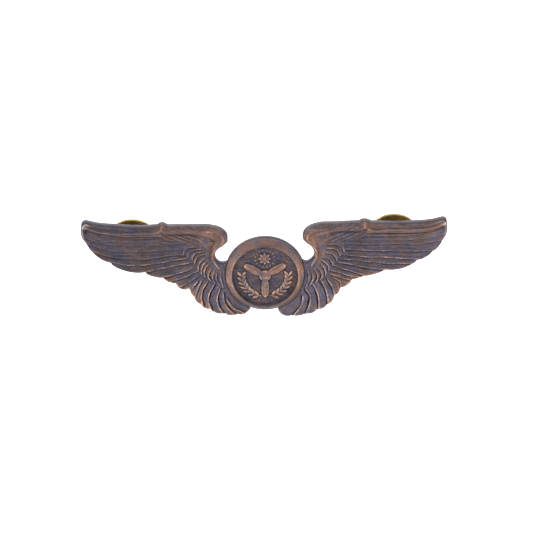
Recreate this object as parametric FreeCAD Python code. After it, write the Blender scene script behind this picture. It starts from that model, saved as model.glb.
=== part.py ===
import FreeCAD, Part
import math
import os

# Pilot-style wings pin: a cast wings plate with an applied round medallion, two tack posts
# brazed on its back, and two squeeze-to-release clutches that slide on the posts.
# Millimetres. X to the viewer's right, Z up the badge, Y from the front towards the wearer.
# Y = 0 is the flat pad behind the medallion; the wings' backs lie a little in front of it.

V = FreeCAD.Vector

# wings plate
BACK_Y = -0.10
FIELD_Y = -1.70
PLATE_R = 8.35
PLATE_FRONT_Y = -0.95
PAD_R = 7.90
EDGE_CHAMFER = 0.22

# medallion
RING_OUTER_R = 8.25
RING_SHOULDER_Y = -1.75
RING_CREST_R = 7.00
RING_INNER_R = 6.86
RING_FRONT_Y = -2.86
EMBLEM_FIELD_Y = -2.05

# raised work: width and height of each kind of line on the wings and in the medallion
ARM_W, ARM_H = 1.70, 0.42
LEAD_W, LEAD_H = 0.95, 0.36
QUILL_W, QUILL_H = 0.42, 0.24
COVERT_W, COVERT_H = 0.36, 0.20
KNOB_X, KNOB_Z, KNOB_R = 21.1, 10.80, 0.85
ROOT = 0.15

# emblem
BLADE_H = 0.38
HUB_R, HUB_H = 1.25, 0.58
ROSETTE_Z, ROSETTE_PETALS = 3.95, 8
LAUREL_R, LAUREL_PAIRS, LAUREL_SPREAD = 4.75, 6, 34
LEAF_W = 0.62

# posts
POSTS = {"left": (-27.6, 6.30), "right": (27.0, 6.55)}
FLANGE_R = 2.25
FLANGE_Y = 0.20
SOLDER_W = 0.45
NECK_R = 0.80
NECK_END_Y = 1.75
SHANK_R = 0.55
GROOVE_Y = 5.50
TIP_Y = 6.70
TIP_R = 0.08

# clutches
RIM_R = 5.60
RIM_Y = 1.20
DISC_FRONT_Y = 2.20
DISC_BACK_Y = 2.60
DISH_R = 4.40
GUIDE_R = 0.65
GUIDE_OUTER_R = 1.05
GUIDE_END_Y = 3.00
CAGE_W = 3.00
CAGE_HALF_Z = 2.25
CAGE_T = 0.30
CAGE_TOP_Y = 7.30
FOOT_Z = 0.85
DOME_R = 1.30
DOME_T = 0.28
DOME_Y = 6.55
KNUCKLE_X = 3.55
KNUCKLE_Y = 3.05
BEAD_R = 0.25
HOOK_GAP = 0.04
HOOK_WALL = 0.25
JAW_Y = 4.35
JAW_T = 0.25
JAW_GAP = 0.03
CLIP_W = 1.80
CLIP_T = 0.25
CLIP_EYE_R = 1.75
EAR_W = 3.20

# Wing outlines. Each run is one natural stretch of the edge: two points are a straight line,
# three an arc, more a smooth curve. Runs that do not meet are joined by the step of a feather.
LEFT_EDGE = [
    [(-7.7, 2.85), (-8.8, 2.6), (-9.6, 2.85), (-10.2, 3.7), (-10.4, 4.7), (-9.95, 5.9), (-8.6, 7.0),
     (-7.65, 8.0), (-7.75, 9.2), (-9.0, 10.55), (-11.0, 11.25), (-15.0, 11.4), (-20.2, 11.5)],
    [(-20.2, 11.5), (-21.2, 12.0), (-22.1, 11.6)],
    [(-22.1, 11.6), (-24.5, 11.4), (-31.0, 11.75), (-35.0, 12.25), (-36.9, 12.75)],
    [(-36.9, 12.75), (-37.8, 12.45), (-38.0, 11.5)],
    [(-38.0, 11.5), (-38.1, 9.9), (-37.2, 8.0)],
    [(-37.0, 7.65), (-34.6, 4.5), (-32.1, 3.2)],
    [(-31.8, 2.7), (-29.2, 1.3), (-25.0, 0.9)],
    [(-24.7, 0.45), (-23.3, -0.15), (-21.5, -0.45)],
    [(-21.2, -0.65), (-20.1, -1.45), (-18.7, -1.85)],
    [(-18.4, -2.25), (-17.4, -3.25), (-16.0, -3.05)],
    [(-15.7, -3.6), (-15.5, -4.3), (-14.9, -5.15)],
    [(-14.7, -5.75), (-14.3, -6.35), (-13.6, -6.8)],
    [(-13.3, -7.25), (-12.6, -7.8), (-11.7, -7.95)],
    [(-11.3, -8.35), (-10.2, -9.0), (-9.0, -9.05)],
    [(-8.5, -9.2), (-7.2, -9.55), (-6.2, -9.35)],
    [(-5.8, -9.4), (-4.4, -9.2), (-3.2, -7.95)],
    [(-2.0, -4.0), (-2.0, 1.0)],
]
RIGHT_EDGE = [
    [(7.8, 2.85), (8.75, 2.55), (9.6, 3.0), (10.15, 3.75), (10.35, 4.8), (9.9, 6.25), (8.7, 7.35),
     (7.95, 8.4), (8.3, 9.7), (9.5, 10.75), (11.0, 11.3), (15.0, 11.5), (19.7, 11.65)],
    [(19.7, 11.65), (20.8, 12.05), (22.1, 11.6)],
    [(22.1, 11.6), (25.0, 11.4), (31.0, 11.4), (35.0, 11.7), (37.0, 12.2)],
    [(37.0, 12.2), (37.75, 11.95), (38.0, 11.1)],
    [(38.0, 11.1), (38.1, 9.7), (37.2, 7.4)],
    [(36.9, 6.8), (36.3, 5.8), (35.0, 4.6)],
    [(34.6, 4.1), (33.4, 3.25), (31.7, 2.6)],
    [(31.4, 2.2), (29.4, 1.05), (25.2, 0.6)],
    [(24.8, 0.3), (23.0, -0.4), (20.6, -0.85)],
    [(20.1, -1.1), (19.2, -1.4), (18.2, -1.6)],
    [(18.0, -1.95), (17.2, -2.9), (15.8, -3.45)],
    [(15.6, -4.0), (15.3, -4.65), (14.6, -5.15)],
    [(14.4, -5.5), (14.0, -6.55), (13.1, -7.25)],
    [(12.9, -7.55), (12.2, -8.15), (11.1, -8.5)],
    [(10.8, -8.6), (9.9, -9.25), (8.6, -9.45)],
    [(7.8, -9.7), (6.8, -9.9), (5.8, -9.8)],
    [(5.3, -9.9), (4.0, -9.85), (2.6, -8.15)],
    [(2.0, -4.0), (2.0, 1.0)],
]

# Raised quill lines of the flight feathers, each from the coverts out to its notch.
LEFT_QUILLS = [
    [(-16.0, 7.6), (-24.0, 7.8), (-30.0, 7.8), (-36.9, 8.5)],
    [(-16.6, 6.1), (-22.0, 5.9), (-28.0, 5.7), (-34.6, 5.0)],
    [(-16.4, 4.2), (-22.0, 3.2), (-27.0, 2.8), (-31.7, 3.4)],
    [(-15.2, 3.0), (-18.0, 2.5), (-21.5, 1.8), (-24.7, 1.05)],
    [(-14.8, 1.9), (-18.0, 0.8), (-21.1, -0.15)],
    [(-14.2, 0.7), (-16.5, -0.3), (-18.5, -1.4)],
    [(-13.8, -0.4), (-15.0, -1.2), (-16.1, -2.8)],
    [(-13.2, -1.3), (-14.2, -3.0), (-14.9, -4.6)],
    [(-12.0, -1.6), (-13.2, -4.0), (-13.4, -6.4)],
    [(-10.6, -2.2), (-11.7, -5.0), (-11.4, -7.6)],
    [(-9.4, -3.2), (-9.9, -5.7), (-8.9, -8.4)],
    [(-8.7, -4.6), (-8.4, -6.8), (-6.5, -8.7)],
]
RIGHT_QUILLS = [
    [(16.0, 7.9), (22.0, 7.9), (29.0, 7.9), (36.8, 7.8)],
    [(16.8, 6.8), (22.0, 6.7), (28.0, 6.5), (34.7, 4.8)],
    [(16.6, 5.6), (22.0, 5.2), (27.0, 4.5), (31.5, 3.0)],
    [(16.4, 4.2), (20.0, 3.9), (23.5, 2.8), (25.2, 1.0)],
    [(15.2, 2.7), (18.0, 2.1), (21.0, 1.1), (24.6, 0.6)],
    [(14.3, 1.8), (17.0, 0.8), (20.2, -0.6)],
    [(13.8, 0.3), (15.8, -0.7), (18.1, -1.5)],
    [(13.8, -0.9), (15.2, -1.7), (15.9, -3.2)],
    [(12.9, -1.2), (14.0, -3.4), (14.4, -5.2)],
    [(11.6, -1.7), (12.8, -4.4), (12.9, -7.2)],
    [(9.9, -2.5), (11.0, -5.4), (10.9, -8.3)],
    [(8.5, -3.7), (9.3, -5.8), (8.2, -9.3)],
    [(7.9, -5.4), (7.4, -7.4), (5.6, -9.4)],
]

# Rounded tips of the small covert feathers, drawn as arcs.
LEFT_COVERTS = [
    [(-15.2, 8.2), (-16.9, 7.5), (-16.7, 6.2)],
    [(-15.0, 6.6), (-16.5, 6.2), (-16.7, 4.8)],
    [(-13.0, 6.0), (-15.0, 5.8), (-15.6, 4.4)],
    [(-12.5, 5.0), (-14.2, 4.7), (-14.8, 3.2)],
    [(-12.3, 4.2), (-13.8, 3.4), (-14.2, 2.0)],
    [(-12.2, 3.2), (-13.4, 2.0), (-13.4, 0.5)],
    [(-11.6, 2.5), (-12.6, 1.1), (-12.6, -0.2)],
    [(-10.9, 1.5), (-11.7, -0.2), (-11.3, -1.4)],
    [(-9.8, 0.8), (-10.2, -1.0), (-9.6, -2.2)],
]
RIGHT_COVERTS = [
    [(14.9, 8.3), (16.4, 7.8), (16.7, 6.5)],
    [(13.2, 6.3), (15.6, 6.2), (16.4, 5.0)],
    [(13.0, 5.9), (14.7, 5.6), (15.5, 4.3)],
    [(12.6, 4.8), (14.2, 4.4), (14.8, 3.0)],
    [(12.0, 3.7), (13.5, 3.1), (14.0, 1.9)],
    [(11.6, 3.2), (12.9, 2.0), (13.1, 0.7)],
    [(11.6, 2.0), (12.3, 1.1), (12.5, -0.1)],
    [(10.9, 1.0), (11.6, 0.0), (11.6, -1.1)],
    [(9.7, 0.5), (10.4, -0.9), (9.8, -2.4)],
]

# Arm of the wing: a thick bone from the shoulder to the wrist knob, then a slim leading edge.
LEFT_ARM = [(-9.6, 6.2), (-9.0, 8.5), (-11.3, 10.15), (-20.6, 10.3)]
RIGHT_ARM = [(9.7, 6.5), (9.5, 8.8), (11.6, 10.2), (20.4, 10.35)]
LEFT_LEAD = [(-21.4, 10.6), (-29.0, 10.55), (-35.0, 11.0), (-37.2, 11.8)]
RIGHT_LEAD = [(21.2, 10.6), (29.0, 10.3), (35.0, 10.5), (37.1, 11.1)]


def curve(p):
    """One stretch of an edge: two points are a line, three an arc, more a smooth curve."""
    if len(p) == 2:
        return Part.makeLine(p[0], p[1])
    if len(p) == 3:
        return Part.Arc(p[0], p[1], p[2]).toShape()
    spline = Part.BSplineCurve()
    spline.interpolate(p)
    return spline.toShape()


def closed_face(runs, in_space):
    """Face inside the given runs, joined by a straight step where they do not meet."""
    edges = []
    for i, run in enumerate(runs):
        following = runs[(i + 1) % len(runs)][0]
        edges.append(curve([in_space(a, b) for a, b in run]))
        if math.dist(run[-1], following) > 1e-9:
            edges.append(curve([in_space(*run[-1]), in_space(*following)]))
    return Part.Face(Part.Wire(edges))


def corners(*points):
    """Straight runs from point to point."""
    return [[a, b] for a, b in zip(points, points[1:])]


def slab(runs, y_back, y_front):
    """Flat slab of an outline between two depths."""
    return closed_face(runs, lambda x, z: V(x, y_back, z)).extrude(V(0, y_front - y_back, 0))


def rod_y(r, y0, y1, x=0.0, z=0.0):
    """Round bar along Y."""
    return Part.makeCylinder(r, abs(y1 - y0), V(x, min(y0, y1), z), V(0, 1, 0))


def lathe(runs, x=0.0, z=0.0):
    """Solid turned about Y from runs of (radius, y) points."""
    solid = closed_face(runs, lambda r, y: V(r, y, 0)).revolve(V(0, 0, 0), V(0, 1, 0), 360)
    solid.translate(V(x, 0, z))
    return solid


def bead(points, width, height, y):
    """Half-round raised line laid on the plane at depth y."""
    edge = curve([V(x, y, z) for x, z in points])
    start = edge.valueAt(edge.FirstParameter)
    side = edge.tangentAt(edge.FirstParameter).cross(V(0, 1, 0))
    side.normalize()
    left = start + side * (width / 2)
    right = start - side * (width / 2)
    root = V(0, ROOT, 0)
    section = Part.Wire([
        Part.Arc(left, start - V(0, height, 0), right).toShape(),
        Part.makeLine(right, right + root),
        Part.makeLine(right + root, left + root),
        Part.makeLine(left + root, left),
    ])
    return Part.Wire(edge).makePipeShell([section], True, False)


def wing(edge, quills, coverts, arm, lead, side):
    """One wing: chamfered slab, arm, leading edge, wrist knob, quills and covert arcs."""
    body = slab(edge, BACK_Y, FIELD_Y)
    front = [e for e in body.Edges
             if abs(e.BoundBox.YMin - FIELD_Y) < 1e-6 and abs(e.BoundBox.YMax - FIELD_Y) < 1e-6]
    body = body.makeChamfer(EDGE_CHAMFER, front)
    raised = [bead(arm, ARM_W, ARM_H, FIELD_Y), bead(lead, LEAD_W, LEAD_H, FIELD_Y)]
    raised += [bead(q, QUILL_W, QUILL_H, FIELD_Y) for q in quills]
    raised += [bead(c, COVERT_W, COVERT_H, FIELD_Y) for c in coverts]
    raised.append(Part.makeSphere(KNOB_R, V(side * KNOB_X, FIELD_Y + 0.35, KNOB_Z)))
    return body.fuse(raised)


def wings_plate():
    """Both wings and the round plate that carries the medallion, cast in one piece."""
    left = wing(LEFT_EDGE, LEFT_QUILLS, LEFT_COVERTS, LEFT_ARM, LEFT_LEAD, -1)
    right = wing(RIGHT_EDGE, RIGHT_QUILLS, RIGHT_COVERTS, RIGHT_ARM, RIGHT_LEAD, 1)
    seat = rod_y(PLATE_R, PLATE_FRONT_Y, 2 * RING_FRONT_Y)
    plate = left.cut(seat).fuse([right.cut(seat), rod_y(PLATE_R, PLATE_FRONT_Y, BACK_Y)])
    return plate.fuse(rod_y(PAD_R, BACK_Y, 0.0)).removeSplitter()


def turned(shape, degrees, x=0.0, z=0.0):
    """Copy turned in the plane of the badge, clockwise as seen from the front, then moved."""
    out = shape.copy()
    out.rotate(V(0, 0, 0), V(0, 1, 0), degrees)
    out.translate(V(x, 0, z))
    return out


def raised_shape(runs, height):
    """Flat-topped shape standing on the emblem's field and rooted in it."""
    return slab(runs, EMBLEM_FIELD_Y + ROOT / 3, EMBLEM_FIELD_Y - height)


def petal(length, height):
    """Pointed leaf along +Z from the origin."""
    half = LEAF_W / 2
    return raised_shape([
        [(0.0, 0.0), (half, length * 0.45), (0.0, length)],
        [(0.0, length), (-half, length * 0.45), (0.0, 0.0)],
    ], height)


def propeller():
    """Three blades at 120 degrees round a domed hub."""
    blade = raised_shape([
        [(-0.40, 0.5), (-0.85, 2.6), (-0.55, 4.6)],
        [(-0.55, 4.6), (0.0, 5.0), (0.55, 4.6)],
        [(0.55, 4.6), (0.85, 2.6), (0.40, 0.5)],
    ], BLADE_H)
    y0 = EMBLEM_FIELD_Y
    shoulder = (HUB_R, y0 - HUB_H + 0.28)
    crown = (0.50, y0 - HUB_H)
    hub = lathe(corners((0.0, y0 + ROOT / 3), (HUB_R, y0 + ROOT / 3), shoulder)
                + [[shoulder, (0.98, y0 - HUB_H + 0.08), crown]]
                + corners(crown, (0.0, y0 - HUB_H)))
    return [turned(blade, angle) for angle in (-60, 60, 180)] + [hub]


def rosette():
    """Ring of petals round a button."""
    button = rod_y(0.42, EMBLEM_FIELD_Y + ROOT / 3, EMBLEM_FIELD_Y - 0.42, 0.0, ROSETTE_Z)
    leaf = petal(1.25, 0.26)
    step = 360 / ROSETTE_PETALS
    return [button] + [turned(leaf, i * step, 0.0, ROSETTE_Z) for i in range(ROSETTE_PETALS)]


def laurel(side):
    """Curved spray low on one side: a stem with leaves in pairs."""

    def on_stem(degrees):
        a = math.radians(degrees)
        return side * LAUREL_R * math.sin(a), -LAUREL_R * math.cos(a)

    shapes = [bead([on_stem(a) for a in (22, 58, 96)], 0.30, 0.22, EMBLEM_FIELD_Y)]
    leaf = petal(1.45, 0.24)
    for i in range(LAUREL_PAIRS):
        a = 28 + 13 * i
        x, z = on_stem(a)
        for spread in (LAUREL_SPREAD, -LAUREL_SPREAD):
            shapes.append(turned(leaf, side * (90 - a + spread), x, z))
    return shapes


def medallion():
    """Round shield: a rim that slopes up to a crest at its inner edge, and a sunk field with a device."""
    y0 = PLATE_FRONT_Y
    seam = RING_OUTER_R - 0.15
    shoulder = (RING_OUTER_R, RING_SHOULDER_Y)
    bevel = (RING_OUTER_R - 0.17, RING_SHOULDER_Y - 0.20)
    crest = (RING_CREST_R + 0.20, RING_FRONT_Y + 0.05)
    swell = ((bevel[0] + crest[0]) / 2 + 0.06, (bevel[1] + crest[1]) / 2 - 0.07)
    lip = (RING_INNER_R + 0.06, RING_FRONT_Y + 0.12)
    disc = lathe(
        corners((0.0, y0), (seam, y0), (seam, y0 - 0.10), (RING_OUTER_R, y0 - 0.10), shoulder)
        + [[shoulder, (RING_OUTER_R - 0.05, RING_SHOULDER_Y - 0.12), bevel],
           [bevel, swell, crest],
           [crest, (RING_CREST_R, RING_FRONT_Y), lip]]
        + corners(lip, (RING_INNER_R - 0.04, EMBLEM_FIELD_Y), (0.0, EMBLEM_FIELD_Y)))
    return disc.fuse(propeller() + rosette() + laurel(-1) + laurel(1)).removeSplitter()


def post(x, z):
    """Tack post: flange, thick neck, slim shank with a holding groove and a point."""
    edge = (FLANGE_R, FLANGE_Y - 0.12)
    top = (FLANGE_R - 0.12, FLANGE_Y)
    above = (SHANK_R, GROOVE_Y - 0.20)
    below = (SHANK_R, GROOVE_Y + 0.20)
    shaft = corners((0.0, BACK_Y), (FLANGE_R, BACK_Y), edge)
    shaft.append([edge, (FLANGE_R - 0.04, FLANGE_Y - 0.04), top])
    shaft += corners(top, (NECK_R, FLANGE_Y), (NECK_R, NECK_END_Y), (SHANK_R, NECK_END_Y + 0.20), above)
    shaft.append([above, (SHANK_R - 0.13, GROOVE_Y), below])
    shaft += corners(below, (SHANK_R, GROOVE_Y + 0.45), (TIP_R + 0.04, TIP_Y - 0.05), (TIP_R, TIP_Y),
                     (0.0, TIP_Y))
    return lathe(shaft, x, z)


def solder(x, z):
    """Cone of brazing metal round a post's flange."""
    top = (FLANGE_R, FLANGE_Y - 0.14)
    return lathe(corners(top, (FLANGE_R, BACK_Y), (FLANGE_R + SOLDER_W, BACK_Y), top), x, z)


def clutch_disc():
    """Dished round base with a rolled rim and a drawn guide collar for the post."""
    edge = (RIM_R, RIM_Y + 0.22)
    under = (RIM_R - 0.10, RIM_Y + 0.50)
    collar = corners((4.70, DISC_BACK_Y), (GUIDE_OUTER_R, DISC_BACK_Y), (GUIDE_OUTER_R, GUIDE_END_Y),
                     (GUIDE_R, GUIDE_END_Y), (GUIDE_R, DISC_BACK_Y - 0.10), (0.95, DISC_FRONT_Y),
                     (DISH_R, DISC_FRONT_Y))
    return lathe(collar + [
        [(DISH_R, DISC_FRONT_Y), (4.66, 2.12), (4.80, 1.90)],
        [(4.80, 1.90), (5.12, 1.36)],
        [(5.12, 1.36), (5.38, RIM_Y), edge],
        [edge, (RIM_R - 0.02, RIM_Y + 0.36), under],
        [under, (5.14, 2.30)],
        [(5.14, 2.30), (4.98, 2.52), (4.70, DISC_BACK_Y)],
    ])


def cage_arch(half_z, top_y, bend):
    """One face of the cage's strap, from its left foot over the roof to its right foot."""
    side_y = top_y - bend
    roof_z = half_z - bend
    knee = bend * 0.3
    return [
        [(DISC_BACK_Y, half_z), (side_y, half_z)],
        [(side_y, half_z), (top_y - knee, half_z - knee), (top_y, roof_z)],
        [(top_y, roof_z), (top_y, -roof_z)],
        [(top_y, -roof_z), (top_y - knee, -half_z + knee), (side_y, -half_z)],
        [(side_y, -half_z), (DISC_BACK_Y, -half_z)],
    ]


def clutch_cage():
    """Bridge over the jaws: two legs with spread feet, a roof and a dome over the post's tip."""
    outer = cage_arch(CAGE_HALF_Z, CAGE_TOP_Y, 0.70)
    inner = cage_arch(CAGE_HALF_Z - CAGE_T, CAGE_TOP_Y - CAGE_T, 0.40)
    runs = outer + [run[::-1] for run in inner[::-1]]
    half = CAGE_W / 2
    strap = closed_face(runs, lambda y, z: V(-half, y, z)).extrude(V(CAGE_W, 0, 0))
    foot_z = CAGE_HALF_Z - 0.05
    feet = [Part.makeBox(CAGE_W, CAGE_T, FOOT_Z, V(-half, DISC_BACK_Y, z))
            for z in (foot_z, -foot_z - FOOT_Z)]
    dome = Part.makeSphere(DOME_R, V(0, DOME_Y, 0)).common(rod_y(DOME_R, CAGE_TOP_Y - 0.20, 8.20))
    hollow = Part.makeSphere(DOME_R - DOME_T, V(0, DOME_Y, 0)).common(rod_y(DOME_R, 6.00, 8.20))
    return strap.fuse(feet + [dome]).cut(hollow).removeSplitter()


def clutch_clip():
    """Strip on the disc's back with an eye for the guide collar and a rolled bead at each end."""
    half = KNUCKLE_X + 0.05
    strip = Part.makeBox(2 * half, CLIP_T, CLIP_W, V(-half, DISC_BACK_Y, -CLIP_W / 2))
    eye = rod_y(CLIP_EYE_R, DISC_BACK_Y, DISC_BACK_Y + CLIP_T)
    beads = [Part.makeCylinder(BEAD_R, CLIP_W, V(s * KNUCKLE_X, KNUCKLE_Y, -CLIP_W / 2), V(0, 0, 1))
             for s in (-1, 1)]
    hole = rod_y(GUIDE_OUTER_R + 0.07, 2.0, 3.5)
    return strip.fuse([eye] + beads).cut(hole).removeSplitter()


def lever_hook(width):
    """Curl of the lever round the clip's bead."""
    r_in = BEAD_R + HOOK_GAP
    r_out = r_in + HOOK_WALL

    def at(r, degrees):
        a = math.radians(degrees)
        return KNUCKLE_X + r * math.cos(a), KNUCKLE_Y + r * math.sin(a)

    runs = [[at(r_in, -30), at(r_in, 75), at(r_in, 180)], [at(r_out, 180), at(r_out, 75), at(r_out, -30)]]
    return closed_face(runs, lambda x, y: V(x, y, -width / 2)).extrude(V(0, 0, width))


def lever_ear(width):
    """Upright and flared finger ear in side view, pulled out across the lever's width."""
    runs = [
        [(3.84, 3.15), (4.08, 3.15)],
        [(4.08, 3.15), (4.16, 3.75), (4.18, 4.40)],
        [(4.18, 4.40), (4.42, 5.35), (5.02, 6.25)],
        [(5.02, 6.25), (5.18, 6.42), (5.06, 6.52)],
        [(5.06, 6.52), (4.90, 6.54), (4.80, 6.45)],
        [(4.80, 6.45), (4.14, 5.45), (3.88, 4.40)],
        [(3.88, 4.40), (3.86, 3.75), (3.84, 3.15)],
    ]
    return closed_face(runs, lambda x, y: V(x, y, -width / 2)).extrude(V(0, 0, width))


def ear_mask():
    """Front view of a lever: narrow foot widening to a rounded finger ear."""
    half = EAR_W / 2
    foot = CLIP_W / 2
    right = [
        [(2.6, foot), (4.0, foot)],
        [(4.0, foot), (4.35, half - 0.35), (4.9, half)],
        [(4.9, half), (5.7, half)],
        [(5.7, half), (6.35, half - 0.35), (6.56, 0.5)],
    ]
    left = [[(y, -z) for y, z in run[::-1]] for run in right[::-1]]
    return closed_face(right + left, lambda y, z: V(3.0, y, z)).extrude(V(2.5, 0, 0))


def clutch_lever():
    """Squeeze lever on the +X side: its J-shaped jaw passes the post and grips the far side."""
    ear = lever_ear(EAR_W).common(ear_mask())
    reach = 1.15
    arm = Part.makeBox(4.00 + reach, JAW_T, 0.55, V(-reach, JAW_Y, 0.65))
    jaw_end = Part.makeBox(0.65, JAW_T, 1.40, V(-reach, JAW_Y, -0.45))
    jaw = arm.fuse(jaw_end).cut(rod_y(SHANK_R + JAW_GAP, 4.0, 5.0))
    return lever_hook(CLIP_W).fuse([ear, jaw]).removeSplitter()


def placed(shape, x, z, half_turn=False):
    """Clutch piece moved from the origin to the post at (x, z)."""
    out = shape.copy()
    if half_turn:
        out.rotate(V(0, 0, 0), V(0, 1, 0), 180)
    out.translate(V(x, 0, z))
    return out


def main():
    pieces = {"wings_plate": wings_plate(), "medallion": medallion()}
    disc = clutch_disc()
    cage = clutch_cage()
    clip = clutch_clip()
    lever = clutch_lever()
    for side, place in POSTS.items():
        pieces["post_" + side] = post(*place)
        pieces["solder_" + side] = solder(*place)
        pieces["clutch_" + side + "_disc"] = placed(disc, *place)
        pieces["clutch_" + side + "_cage"] = placed(cage, *place)
        pieces["clutch_" + side + "_clip"] = placed(clip, *place)
        pieces["clutch_" + side + "_lever_a"] = placed(lever, *place)
        pieces["clutch_" + side + "_lever_b"] = placed(lever, *place, half_turn=True)
    os.makedirs("parts", exist_ok=True)
    for name, shape in pieces.items():
        if len(shape.Solids) != 1 or not shape.isValid():
            raise ValueError(name + " is not one valid solid")
        shape.Solids[0].exportStep("parts/" + name + ".step")


main()
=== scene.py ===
import math

import bpy
import numpy as np
from mathutils import Matrix, Vector
from mathutils.geometry import delaunay_2d_cdt


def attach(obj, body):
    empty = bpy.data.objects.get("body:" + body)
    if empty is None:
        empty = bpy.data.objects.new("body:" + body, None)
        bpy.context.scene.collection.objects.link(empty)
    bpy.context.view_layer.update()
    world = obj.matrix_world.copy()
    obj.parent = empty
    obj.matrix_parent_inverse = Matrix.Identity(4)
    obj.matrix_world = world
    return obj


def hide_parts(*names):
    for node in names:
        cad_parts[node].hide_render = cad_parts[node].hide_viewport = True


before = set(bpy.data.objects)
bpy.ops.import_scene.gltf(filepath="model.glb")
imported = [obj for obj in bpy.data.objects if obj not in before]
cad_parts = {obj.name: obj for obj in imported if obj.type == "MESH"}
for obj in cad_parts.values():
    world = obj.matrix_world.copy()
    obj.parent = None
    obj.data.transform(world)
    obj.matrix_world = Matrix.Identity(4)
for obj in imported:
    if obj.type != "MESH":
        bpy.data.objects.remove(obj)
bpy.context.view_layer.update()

# Lengths below are millimetres in the frame of the pin: X to the viewer's right, Z up, Y to the back.
# Curves and reliefs are drawn in (x, z), and a relief's height points to the front, which is -Y.
MM = 0.001
SEED = 7

# the medallion's edge, the round plate it sits on, and where the backs and the sunk fields lie
RING_R = 8.25
SEAT_R = 8.35
SEAT_Y = -0.95
BACK_Y = -0.1
FIELD_Y = -1.65
EMBLEM_Y = -2.05
PAD_R = 7.9

# ---------------- camera, floor and lights

ELEVATION = 27
ROLL = 1
LENS = 300
SENSOR = 36
VIEW_WIDTH = 111.3
AIM_RIGHT = 0.31
AIM_UP = 1.78
AIM_Y = -1.9
# soft boxes: name, place and size in millimetres, power
LIGHTS = [
    ("left_box", (-420, -300, 160), (300, 500), 2.2),
    ("right_box", (430, -260, 60), (300, 500), 1.4),
    ("top_box", (0, -60, 520), (700, 400), 3),
    ("back_box", (0, 480, 260), (900, 400), 2.4),
]
SURROUND = 0.6
FLOOR_HALF = 12
FLOOR_Z = -0.16


def new_object(name, data):
    obj = bpy.data.objects.new(name, data)
    bpy.context.scene.collection.objects.link(obj)
    return obj


def camera():
    """Long-lens camera in front of the pin and above it, turned a little about its own axis."""
    e, r = math.radians(ELEVATION), math.radians(ROLL)
    ahead = Vector((0, math.cos(e), -math.sin(e)))
    right0 = Vector((1, 0, 0))
    up0 = Vector((0, math.sin(e), math.cos(e)))
    right = right0 * math.cos(r) - up0 * math.sin(r)
    up = right0 * math.sin(r) + up0 * math.cos(r)
    centre = Vector((0, AIM_Y, 0))
    aim = centre + right * AIM_RIGHT + up * AIM_UP
    place = aim - ahead * (VIEW_WIDTH * LENS / SENSOR)
    data = bpy.data.cameras.new("camera")
    data.lens = LENS
    data.sensor_width = SENSOR
    data.clip_start = 0.01
    data.clip_end = 50
    obj = new_object("camera", data)
    turn = Matrix((right, up, -ahead)).transposed()
    obj.matrix_world = Matrix.Translation(place * MM) @ turn.to_4x4()
    bpy.context.scene.camera = obj


def area(name, place, size, power):
    """Soft box at a place in millimetres, aimed at the pin."""
    data = bpy.data.lights.new(name, "AREA")
    data.shape = "RECTANGLE"
    data.size, data.size_y = size[0] * MM, size[1] * MM
    data.energy = power
    obj = new_object(name, data)
    obj.location = Vector(place) * MM
    obj.rotation_euler = (-Vector(place)).to_track_quat("-Z", "Y").to_euler()


def studio():
    """Pale floor well below the pin, even surroundings and soft boxes."""
    scene = bpy.context.scene
    scene.view_settings.view_transform = "Standard"
    world = bpy.data.worlds.new("surround")
    world.use_nodes = True
    background = world.node_tree.nodes["Background"].inputs
    background["Color"].default_value = (1, 1, 1, 1)
    background["Strength"].default_value = SURROUND
    scene.world = world
    for light in LIGHTS:
        area(*light)
    corners = [(-1, -1), (1, -1), (1, 1), (-1, 1)]
    mesh = bpy.data.meshes.new("floor")
    mesh.from_pydata([(x * FLOOR_HALF, y * FLOOR_HALF, FLOOR_Z) for x, y in corners], [], [(0, 1, 2, 3)])
    floor = new_object("floor", mesh)
    mat = bpy.data.materials.new("pale_floor")
    mat.use_nodes = True
    bsdf = mat.node_tree.nodes["Principled BSDF"].inputs
    bsdf["Base Color"].default_value = (0.92, 0.92, 0.92, 1)
    bsdf["Roughness"].default_value = 0.9
    bsdf["Emission Color"].default_value = (1, 1, 1, 1)
    bsdf["Emission Strength"].default_value = 0.45
    mesh.materials.append(mat)


# ---------------- curves in the plane of the badge

def arc_through(a, b, c, step):
    """Circle arc from a to c through b."""
    (ax, az), (bx, bz), (cx, cz) = a, b, c
    d = 2 * (ax * (bz - cz) + bx * (cz - az) + cx * (az - bz))
    if abs(d) < 1e-6:
        return straight(a, c, step)
    sa, sb, sc = ax * ax + az * az, bx * bx + bz * bz, cx * cx + cz * cz
    ux = (sa * (bz - cz) + sb * (cz - az) + sc * (az - bz)) / d
    uz = (sa * (cx - bx) + sb * (ax - cx) + sc * (bx - ax)) / d
    r = math.hypot(ax - ux, az - uz)
    t0 = math.atan2(az - uz, ax - ux)
    t2 = math.atan2(cz - uz, cx - ux)
    turn = 1 if (bx - ax) * (cz - az) - (bz - az) * (cx - ax) > 0 else -1
    sweep = (turn * (t2 - t0)) % (2 * math.pi)
    n = max(3, int(r * sweep / step))
    t = t0 + turn * np.linspace(0, sweep, n + 1)
    return np.column_stack([ux + r * np.cos(t), uz + r * np.sin(t)])


def straight(a, b, step):
    n = max(1, int(math.dist(a, b) / step))
    return np.linspace(a, b, n + 1)


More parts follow.
